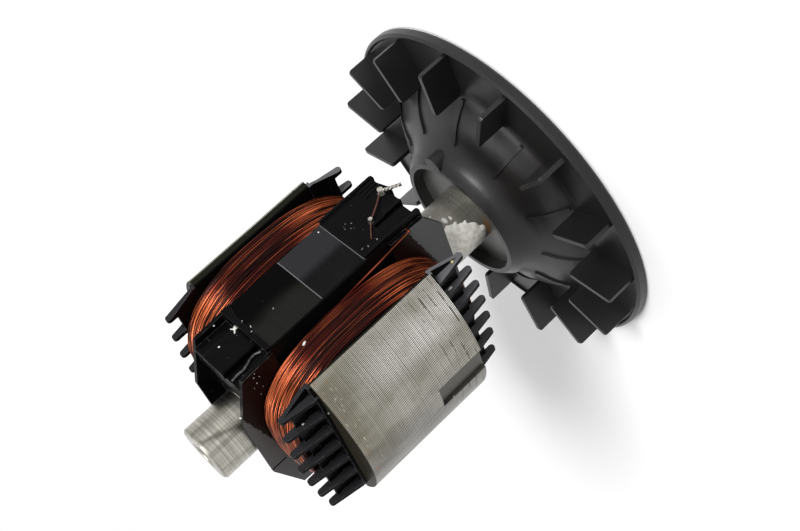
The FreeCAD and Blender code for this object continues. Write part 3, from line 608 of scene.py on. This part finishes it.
def rounded_copy(name, width_mm, edge_wear_and_highlight):
    """A merged copy of a node with rounded edges, which take the finish of wear and painted highlight where one
    is given.
    """
    mesh = nodes[name].data.copy()
    mesh.polygons.foreach_set("use_smooth", [True] * len(mesh.polygons))
    work = bpy.data.objects.new(name + "_work", mesh)
    bpy.context.scene.collection.objects.link(work)
    weld = work.modifiers.new("weld", "WELD")
    weld.merge_threshold = merge_mm * MM
    flat = work.modifiers.new("flat", "DECIMATE")
    flat.decimate_type = "DISSOLVE"
    flat.angle_limit = math.radians(flat_degrees)
    edge = work.modifiers.new("edge", "BEVEL")
    edge.width = width_mm * MM
    edge.segments = 2
    edge.limit_method = "ANGLE"
    edge.angle_limit = math.radians(crease_degrees)
    if edge_wear_and_highlight:
        mesh.materials.append(edge_wear_and_highlight)
        edge.material = len(mesh.materials) - 1
    level = work.modifiers.new("level", "WEIGHTED_NORMAL")
    level.weight = 80
    rounded = plain_mesh(work)
    bpy.data.objects.remove(work)
    which = [face.material_index for face in rounded.polygons]
    piece = new_piece(name + "_rounded", rounded, finish_of[name])
    if edge_wear_and_highlight:
        rounded.materials.append(edge_wear_and_highlight)
        rounded.polygons.foreach_set("material_index", which)
    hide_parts(name)
    print(name, "rounded:", len(rounded.polygons), "faces,", sum(which), "on edges")


rounded_ones = (
    ("free_end_insulator", 0.18, black_edge),
    ("fan_end_insulator", 0.18, black_edge),
    ("fan", 0.3, charcoal_edge),
    ("fan_end_diode", 0.15, None),
    ("free_end_diode", 0.15, None),
)
for name, width_mm, edge_wear_and_highlight in rounded_ones:
    rounded_copy(name, width_mm, edge_wear_and_highlight)

# %% [markdown]
# A coil is some thirty turns of wire side by side in each layer. The turns follow the coil's outside and
# wander a little, because the machine lays them quickly. They could be drawn one by one as curves, but their
# rule is simple, so Geometry Nodes make them: rings of points stand round the coil, each point is thrown in
# towards the coil's middle until it meets the coil's surface, and a thin round section is swept along each
# ring. The tree ends in real geometry with its material, because instances would be lost in an export.

# %% Winding tree


def tree_with_inputs(name, named):
    """A new geometry tree with one geometry output and the named inputs, and the sockets they arrive on."""
    tree = bpy.data.node_groups.new(name, "GeometryNodeTree")
    tree.interface.new_socket("Geometry", in_out="OUTPUT", socket_type="NodeSocketGeometry")
    for label, kind in named.items():
        tree.interface.new_socket(label, in_out="INPUT", socket_type="NodeSocket" + kind)
    return tree, add(tree, "NodeGroupInput").outputs


# The rings start well outside the coil.
reach_y = 60 * MM
reach_z = 75 * MM
# How fast a turn's wander changes on its way round, and from one turn to the next.
wave_round = 1.1
wave_between_turns = 0.9
wave_scale = 1.6


def wandering_x(tree, given, turn_number, cosine, sine):
    """Where along X each point of a turn lies: evenly spread, with a drift that stays within the coil."""
    first, last = given["First X"], given["Last X"]
    counted = add(tree, MATH, [turn_number, 0.5], operation="ADD")
    share = add(tree, MATH, [counted, given["Turns"]], operation="DIVIDE")
    spread = add(tree, MATH, [last, first], operation="SUBTRACT")
    even_x = add(tree, MATH, [share, spread, first], operation="MULTIPLY_ADD")
    wave_point = add(tree, "ShaderNodeCombineXYZ", [
        add(tree, MATH, [cosine, wave_round], operation="MULTIPLY"),
        add(tree, MATH, [sine, wave_round], operation="MULTIPLY"),
        add(tree, MATH, [turn_number, wave_between_turns, given["Seed"]], operation="MULTIPLY_ADD")])
    wave = add(tree, "ShaderNodeTexNoise", {"Vector": wave_point, "Scale": wave_scale, "Detail": 1.0})
    around_zero = add(tree, MATH, [wave, 0.5], operation="SUBTRACT")
    drift = add(tree, MATH, [around_zero, given["Wander"]], operation="MULTIPLY")
    drifted = add(tree, MATH, [even_x, drift], operation="ADD")
    not_below = add(tree, MATH, [drifted, add(tree, MATH, [first, last], operation="MINIMUM")],
                    operation="MAXIMUM")
    return add(tree, MATH, [not_below, add(tree, MATH, [first, last], operation="MAXIMUM")],
               operation="MINIMUM")


def laid_on_coil(tree, given, x, cosine, sine):
    """The point where a ray from outside, straight towards the coil's middle, meets the coil."""
    start = add(tree, "ShaderNodeCombineXYZ", [
        x, add(tree, MATH, [cosine, reach_y], operation="MULTIPLY"),
        add(tree, MATH, [sine, reach_z, given["Middle Z"]], operation="MULTIPLY_ADD")])
    middle = add(tree, "ShaderNodeCombineXYZ", {"X": x, "Z": given["Middle Z"]})
    inward = add(tree, VECTOR, [middle, start], operation="SUBTRACT")
    coil = add(tree, "GeometryNodeObjectInfo", {"Object": given["Coil"]}).outputs["Geometry"]
    hit = add(tree, "GeometryNodeRaycast", {
        "Target Geometry": coil, "Source Position": start, "Ray Direction": inward, "Ray Length": 1.0})
    one_inward = add(tree, VECTOR, [inward], operation="NORMALIZE")
    outward_by = add(tree, MATH, [given["Lift"], -1.0], operation="MULTIPLY")
    lift = add(tree, VECTOR, [one_inward, outward_by], operation="SCALE")
    return add(tree, VECTOR, [hit.outputs["Hit Position"], lift], operation="ADD")


def winding_tree():
    tree, given = tree_with_inputs("winding", {
        "Turns": "Int", "Steps": "Int", "Wire Radius": "Float", "First X": "Float", "Last X": "Float",
        "Middle Z": "Float", "Lift": "Float", "Wander": "Float", "Seed": "Float", "Coil": "Object",
        "Finish": "Material"})
    index = add(tree, "GeometryNodeInputIndex")
    turns_before = add(tree, MATH, [index, given["Steps"]], operation="DIVIDE")
    turn_number = add(tree, MATH, [turns_before], operation="FLOOR")
    step = add(tree, MATH, [index, given["Steps"]], operation="MODULO")
    way_round = add(tree, MATH, [step, given["Steps"]], operation="DIVIDE")
    angle = add(tree, MATH, [way_round, 2 * math.pi], operation="MULTIPLY")
    cosine = add(tree, MATH, [angle], operation="COSINE")
    sine = add(tree, MATH, [angle], operation="SINE")
    x = wandering_x(tree, given, turn_number, cosine, sine)
    place = laid_on_coil(tree, given, x, cosine, sine)
    ring = add(tree, "GeometryNodeCurvePrimitiveCircle", {"Resolution": given["Steps"], "Radius": 1.0})
    seats = add(tree, "GeometryNodeMeshLine", {"Count": given["Turns"]})
    rings = add(tree, "GeometryNodeInstanceOnPoints", {"Points": seats, "Instance": ring})
    real = add(tree, "GeometryNodeRealizeInstances", {"Geometry": rings})
    laid = add(tree, "GeometryNodeSetPosition", {"Geometry": real, "Position": place})
    section = add(tree, "GeometryNodeCurvePrimitiveCircle", {"Resolution": 6, "Radius": given["Wire Radius"]})
    swept = add(tree, "GeometryNodeCurveToMesh", {"Curve": laid, "Profile Curve": section})
    smooth = add(tree, "GeometryNodeSetShadeSmooth", {"Geometry": swept})
    finished = add(tree, "GeometryNodeRealizeInstances", {"Geometry": smooth})
    coated = add(tree, "GeometryNodeSetMaterial", {"Geometry": finished, "Material": given["Finish"]})
    add(tree, "NodeGroupOutput", {"Geometry": coated})
    return tree


winding = winding_tree()
print("winding tree has", len(winding.nodes), "nodes")

# %% [markdown]
# Both coils get two layers. The lower one is close and nearly even, and the upper one has fewer turns that
# wander more, so that some cross each other as they do on the real coils. A short-lived object carries the
# tree, its result is taken as a plain mesh, and the object goes again.

# %% Wind both coils
wire_radius_mm = 0.25
edge_gap_mm = wire_radius_mm + 0.12
steps_per_turn = 112
layers = (
    {"Turns": 29, "Lift": 0.0 * MM, "Wander": 0.9 * MM, "Seed": 3.0},
    {"Turns": 22, "Lift": 0.3 * MM, "Wander": 2.2 * MM, "Seed": 41.0},
)


def grown(name, tree, values):
    """Runs a tree with the given inputs and returns its result as a plain mesh."""
    holder = bpy.data.objects.new(name + "_work", bpy.data.meshes.new(name + "_work"))
    bpy.context.scene.collection.objects.link(holder)
    maker = holder.modifiers.new("maker", "NODES")
    maker.node_group = tree
    for item in tree.interface.items_tree:
        if item.in_out == "INPUT" and item.name in values:
            maker[item.identifier] = values[item.name]
    mesh = plain_mesh(holder)
    bpy.data.objects.remove(holder)
    mesh.name = name
    return mesh


for coil_name, side in (("near_coil", 1), ("far_coil", -1)):
    low, high = box_mm(coil_name)
    inner, outer = (low[0], high[0]) if side > 0 else (high[0], low[0])
    for number, layer in enumerate(layers, 1):
        wires = grown("%s_wires_%d" % (coil_name, number), winding, {
            **layer, "Seed": layer["Seed"] + 7.0 * side,
            "Steps": steps_per_turn, "Wire Radius": wire_radius_mm * MM,
            "First X": (inner + side * edge_gap_mm) * MM, "Last X": (outer - side * edge_gap_mm) * MM,
            "Middle Z": (low[2] + high[2]) / 2 * MM, "Coil": nodes[coil_name], "Finish": copper_wire})
        new_piece(wires.name, wires, copper_wire)
        print(wires.name, len(wires.polygons), "faces")

# %% [markdown]
# Epoxy resin has run down the shaft between the core and the fan and dried there as one pale patch. Drawn as
# colour alone it would have no edge that catches the light. So it is modelled flat, as overlapping round
# drops that are fused by remeshing, and is then wrapped round the shaft.

# %% Dried resin on the shaft
patch_voxel_mm = 0.32
patch_unevenness = 0.08
# Each drop's azimuth in degrees and its height, then its half width, half height and thickness, in mm.
resin_drops = (
    (0, 36, 9, 8, 0.5), (25, 37, 7, 7, 0.5), (40, 37, 4, 6, 0.45), (-25, 33, 7, 9, 0.45),
    (10, 29, 7, 8, 0.5), (30, 30.5, 4.6, 5.5, 0.5), (22, 26, 3.6, 4.4, 0.45), (36, 28, 2.8, 3.4, 0.45),
    (0, 24, 4.5, 4, 0.5), (-18, 26, 3.5, 5.5, 0.45), (46, 32, 3, 4, 0.55), (54, 31.5, 1.2, 2.6, 0.45),
    (59, 34.5, 0.9, 1.4, 0.45), (60, 31.5, 0.6, 0.9, 0.4), (55, 28.4, 0.7, 0.8, 0.4),
    (8, 21.2, 2.2, 1.6, 0.4), (-28, 22.5, 1.6, 2.0, 0.4), (44, 25.2, 0.8, 0.7, 0.4),
    (64, 36.5, 0.8, 1.1, 0.4),
)


def add_ball(shape, place, radii, turn, subdivisions):
    """Adds one ellipsoid at a place, turned by a matrix."""
    size = Matrix.Diagonal((*radii, 1.0))
    bmesh.ops.create_icosphere(shape, subdivisions=subdivisions, radius=1.0,
                               matrix=Matrix.Translation(place) @ turn.to_4x4() @ size)


def mesh_from(shape, name):
    """Turns a finished shape into a smooth mesh."""
    mesh = bpy.data.meshes.new(name)
    shape.to_mesh(mesh)
    shape.free()
    mesh.polygons.foreach_set("use_smooth", [True] * len(mesh.polygons))
    return mesh


def wrapped_patch(name, drops, finish):
    """Fuses flat drops, in millimetres, and wraps them on the shaft with a gently uneven surface."""
    shape = bmesh.new()
    for azimuth, z, half_width, half_height, thickness in drops:
        arc = math.radians(azimuth) * shaft_radius
        add_ball(shape, (arc, z, 0), (half_width, half_height, thickness), Matrix.Identity(3), 3)
    work = bpy.data.objects.new(name + "_work", mesh_from(shape, name))
    bpy.context.scene.collection.objects.link(work)
    fuse = work.modifiers.new("fuse", "REMESH")
    fuse.mode = "VOXEL"
    fuse.voxel_size = patch_voxel_mm
    fused = plain_mesh(work)
    bpy.data.objects.remove(work)
    for vertex in fused.vertices:
        arc, z, height = vertex.co
        uneven = patch_unevenness * math.sin(1.9 * arc + 0.8 * z) * math.sin(1.3 * z - 0.6 * arc)
        reach = (shaft_radius + height + max(height, 0.0) * uneven) * MM
        angle = arc / shaft_radius
        vertex.co = (reach * math.cos(angle), reach * math.sin(angle), z * MM)
    # Wrapping turns the mesh inside out, because the flat axes arc, z and height become a left-handed set.
    fused.flip_normals()
    fused.polygons.foreach_set("use_smooth", [True] * len(fused.polygons))
    return new_piece(name, fused, finish)


patch = wrapped_patch("dried_resin_patch", resin_drops, resin)
print(patch.name, len(patch.data.polygons), "faces")

# %% [markdown]
# Drops of varnish and glue have splashed on the plastics, the core and the coils. They could be scattered at
# random, but the larger ones are seen at known places on the real piece, so those are listed one by one. Each
# is a flattened ball whose middle lies on the surface that carries it, which is named here where several share
# it.

# %% Splashes and drops
up_y = (0, 1, 0)
up_z = (0, 0, 1)
out_x = (1, 0, 0)
diode_top_y = 34.2
tray_top_y = 36.9
lip_top_y = 36.65
finger_side_y = 19.8
tooth_skin_y = tooth_top_y + 0.05

# Each drop's place and the way it faces, then its two half sizes and its height in mm, and its turn in degrees.
pale_spots = (
    ((-4.7, diode_top_y, 112.8), up_y, 1.1, 0.8, 0.30, 0),
    ((-4.0, diode_top_y, 113.6), up_y, 1.4, 0.35, 0.25, 50),
    ((-5.6, diode_top_y, 112.2), up_y, 1.3, 0.3, 0.25, 30),
    ((-4.3, diode_top_y, 111.9), up_y, 1.0, 0.3, 0.25, 110),
    ((-5.2, diode_top_y, 113.9), up_y, 0.8, 0.25, 0.2, 120),
    ((-12.2, 33.3, 116.8), up_y, 0.4, 0.4, 0.2, 0),
    ((-3.3, diode_top_y, 121.1), up_y, 0.4, 0.35, 0.2, 0),
    ((16.3, 30.6, 101.2), (0.6, 0.8, 0), 1.0, 0.5, 0.5, 20),
    ((31.6, finger_side_y, 119.2), up_y, 0.5, 0.4, 0.25, 0),
    ((-9.7, film_top_y, 70.1), up_y, 0.35, 0.3, 0.15, 0),
    ((-3.4, tooth_skin_y, 110.1), up_y, 0.5, 0.12, 0.12, 20),
    ((0.6, tooth_skin_y, 109.5), up_y, 0.6, 0.12, 0.12, 70),
    ((2.9, lip_top_y, 110.7), up_y, 0.3, 0.12, 0.12, 0),
    ((cheek_face, 28.4, 120.7), out_x, 0.3, 0.15, 0.12, 60),
    ((cheek_face, 31.7, 120.7), out_x, 0.25, 0.15, 0.12, 0),
    ((cheek_face, 27.1, 122.3), out_x, 0.15, 0.12, 0.1, 0),
    ((cheek_face, 30.2, 118.9), out_x, 0.18, 0.12, 0.1, 0),
    ((cheek_face, 25.0, 119.5), out_x, 0.15, 0.12, 0.1, 0),
    ((cheek_face, 33.0, 119.8), out_x, 0.18, 0.15, 0.1, 0),
    ((cheek_face, 22.6, 121.4), out_x, 0.15, 0.1, 0.1, 0),
    ((12.4, 18.7, 131.2), (0.3, 0.2, 1), 0.7, 0.4, 0.3, 0),
    ((47.6, 2.0, 78.6), out_x, 0.3, 0.25, 0.12, 0),
    ((46.7, -7.8, 73.5), out_x, 0.3, 0.25, 0.12, 0),
    ((35.4, 20.2, core_high_z), up_z, 0.5, 0.4, 0.2, 0),
    ((32.2, finger_side_y, 52.8), up_y, 1.1, 0.5, 0.3, 0),
    ((3.6, 10.7, 30.4), (0.32, 0.95, 0), 1.0, 1.5, 0.6, 0),
    ((4.2, 10.4, 28.2), (0.37, 0.93, 0), 0.6, 0.9, 0.4, 0),
    ((-1.5, 11.1, 32.6), (-0.13, 0.99, 0), 0.6, 0.5, 0.3, 0),
)
grey_spots = (
    ((-2.6, tray_top_y, 63.8), up_y, 0.3, 0.2, 0.12, 0),
    ((-1.1, tray_top_y, 62.3), up_y, 0.3, 0.2, 0.12, 90),
    ((-2.6, tray_top_y, 60.8), up_y, 0.3, 0.2, 0.12, 0),
    ((-4.1, tray_top_y, 62.3), up_y, 0.3, 0.2, 0.12, 90),
    ((-3.6, tray_top_y, 63.4), up_y, 0.22, 0.15, 0.1, 45),
    ((8.5, tray_top_y, 65.8), up_y, 0.6, 0.2, 0.12, 15),
    ((9.3, tray_top_y, 63.7), up_y, 0.5, 0.25, 0.12, 80),
    ((9.6, tray_top_y, 59.9), up_y, 0.4, 0.25, 0.12, 40),
    ((1.3, tooth_top_y, 100.1), up_y, 0.4, 0.25, 0.12, 30),
)
amber_spots = (((31.5, 29.3, 48.2), (0.5, 0.8, 0), 0.6, 0.55, 0.4, 0),)


def splashes(name, spots, finish):
    """One mesh of drops, each turned flat against the surface that it lies on."""
    shape = bmesh.new()
    for place, normal, half_long, half_wide, height, angle in spots:
        upright = Vector(normal).normalized().to_track_quat("Z", "X").to_matrix()
        turn = upright @ Matrix.Rotation(math.radians(angle), 3, "Z")
        radii = Vector((half_long, half_wide, height)) * MM
        add_ball(shape, Vector(place) * MM, radii, turn, 2)
    return new_piece(name, mesh_from(shape, name), finish)


for label, spots, finish in (("pale_splashes", pale_spots, varnish_drop),
                             ("grey_splashes", grey_spots, dust),
                             ("amber_drop", amber_spots, amber)):
    made = splashes(label, spots, finish)
    print(made.name, len(made.data.polygons), "faces")

# %% [markdown]
# Fine dust and tiny varnish specks lie all over the plastics and the wires. There are thousands, so Geometry
# Nodes scatter them: a tree throws points on a solid's faces with a fixed seed, and sets a small flattened
# ball on each, of a size drawn from a range. Each ball has only twenty faces, because it is never seen large.

# %% Speck tree
speck_flatness = 0.45


def speck_tree():
    tree, given = tree_with_inputs("specks", {
        "Surface": "Object", "Density": "Float", "Seed": "Int", "Smallest": "Float", "Largest": "Float",
        "Finish": "Material"})
    surface = add(tree, "GeometryNodeObjectInfo", {"Object": given["Surface"]}).outputs["Geometry"]
    thrown = add(tree, "GeometryNodeDistributePointsOnFaces", {
        "Mesh": surface, "Density": given["Density"], "Seed": given["Seed"]})
    ball = add(tree, "GeometryNodeMeshIcoSphere", {"Radius": 1.0, "Subdivisions": 1})
    size = add(tree, "FunctionNodeRandomValue", {
        "Min": given["Smallest"], "Max": given["Largest"], "Seed": given["Seed"]}, data_type="FLOAT")
    height = add(tree, MATH, [size, speck_flatness], operation="MULTIPLY")
    flattened = add(tree, "ShaderNodeCombineXYZ", [size, size, height])
    specks = add(tree, "GeometryNodeInstanceOnPoints", {
        "Points": thrown, "Instance": ball, "Rotation": thrown.outputs["Rotation"], "Scale": flattened})
    real = add(tree, "GeometryNodeRealizeInstances", {"Geometry": specks})
    coated = add(tree, "GeometryNodeSetMaterial", {"Geometry": real, "Material": given["Finish"]})
    add(tree, "NodeGroupOutput", {"Geometry": coated})
    return tree


speck = speck_tree()
print("speck tree has", len(speck.nodes), "nodes")

# %% Dust and specks on the solids
smallest_speck_mm = 0.04
largest_speck_mm = 0.15
# Each solid's name, its specks for each square metre and its seed.
speckled = (
    ("free_end_insulator", 22000.0, 5),
    ("fan_end_insulator", 16000.0, 6),
    ("near_coil", 5000.0, 7),
    ("far_coil", 5000.0, 8),
    ("free_end_diode", 30000.0, 9),
    ("fan_end_diode", 12000.0, 10),
    ("core_stack", 4000.0, 11),
)
for name, density, seed in speckled:
    made = grown(name + "_specks", speck, {
        "Surface": nodes[name], "Density": density, "Seed": seed, "Smallest": smallest_speck_mm * MM,
        "Largest": largest_speck_mm * MM, "Finish": dust})
    new_piece(made.name, made, dust)
    print(made.name, len(made.polygons), "faces")

# %% [markdown]
# The rotor rests on a plain pale floor under soft light. Brighter lamps would make the background white but
# would also wash out the metal, so the floor takes its white from its own colour, and only the rays that
# the camera, mirrors and glass see meet a white world behind it.

# %% Floor, world and lamps


def white_world(strength):
    """A world that lights softly and still looks white, straight on and in reflections."""
    world = bpy.data.worlds.new("studio")
    world.use_nodes = True
    tree = world.node_tree
    tree.nodes.clear()
    ray = add(tree, "ShaderNodeLightPath").outputs
    seen = add(tree, MATH, [ray["Is Camera Ray"], ray["Is Glossy Ray"]], operation="MAXIMUM")
    seen = add(tree, MATH, [seen, ray["Is Transmission Ray"]], operation="MAXIMUM")
    soft = add(tree, "ShaderNodeBackground", {"Color": linear("#ffffff"), "Strength": strength})
    bright = add(tree, "ShaderNodeBackground", {"Color": linear("#ffffff"), "Strength": 1.0})
    add(tree, "ShaderNodeOutputWorld", {"Surface": add(tree, "ShaderNodeMixShader", [seen, soft, bright])})
    bpy.context.scene.world = world


def floor(half):
    """A square board, which isn't part of the rotor."""
    mesh = bpy.data.meshes.new("floor")
    corners = [(-half, -half, 0), (half, -half, 0), (half, half, 0), (-half, half, 0)]
    mesh.from_pydata(corners, [], [(0, 1, 2, 3)])
    mesh.materials.append(plain_finish("matt white board", "#fcfcfc", 0.95))
    board = bpy.data.objects.new("floor", mesh)
    bpy.context.scene.collection.objects.link(board)


def sun(name, toward, strength, width_degrees):
    """A lamp far away in the given direction, as wide as the soft box it stands for."""
    light = bpy.data.lights.new(name, "SUN")
    light.angle = math.radians(width_degrees)
    light.energy = strength
    thing = bpy.data.objects.new(name, light)
    thing.rotation_euler = Vector(toward).to_track_quat("Z", "Y").to_euler()
    bpy.context.scene.collection.objects.link(thing)


white_world(0.27)
floor(12.0)
sun("key", (0.10, 0.85, 0.50), 3.3, 26)
sun("top", (-0.22, -0.05, 0.97), 1.1, 26)
print("stage set")

# %% [markdown]
# The camera stands where the photograph was taken from, in the rotor's own frame. It is rolled, because the
# rotor lay on its side there and stands on its fan here. Turning the rotor instead would move the solids out
# of their frame, so the camera carries the whole turn.

# %% Camera


def camera():
    """The place, the three axes and the lens that were fitted to the photograph."""
    photo_width = 800
    focal_px = 1385.5
    sensor_mm = 36.0
    place = Vector((277.96, 387.09, 180.62)) * MM
    right = Vector((0.66201, -0.24111, -0.70965))
    down = Vector((0.49061, -0.57639, 0.65351))
    ahead = Vector((-0.56660, -0.78079, -0.26329))
    lens = bpy.data.cameras.new("camera")
    lens.sensor_width = sensor_mm
    lens.lens = focal_px * sensor_mm / photo_width
    lens.clip_start = 0.01
    view = bpy.data.objects.new("camera", lens)
    turned = Matrix((right, -down, -ahead)).transposed().to_4x4()
    view.matrix_world = Matrix.Translation(place) @ turned
    bpy.context.scene.collection.objects.link(view)
    bpy.context.scene.camera = view
    print("camera placed, lens %.1f mm" % lens.lens)


camera()
bpy.context.scene.view_settings.view_transform = "Standard"

# %% Sizes and end
bpy.context.view_layer.update()
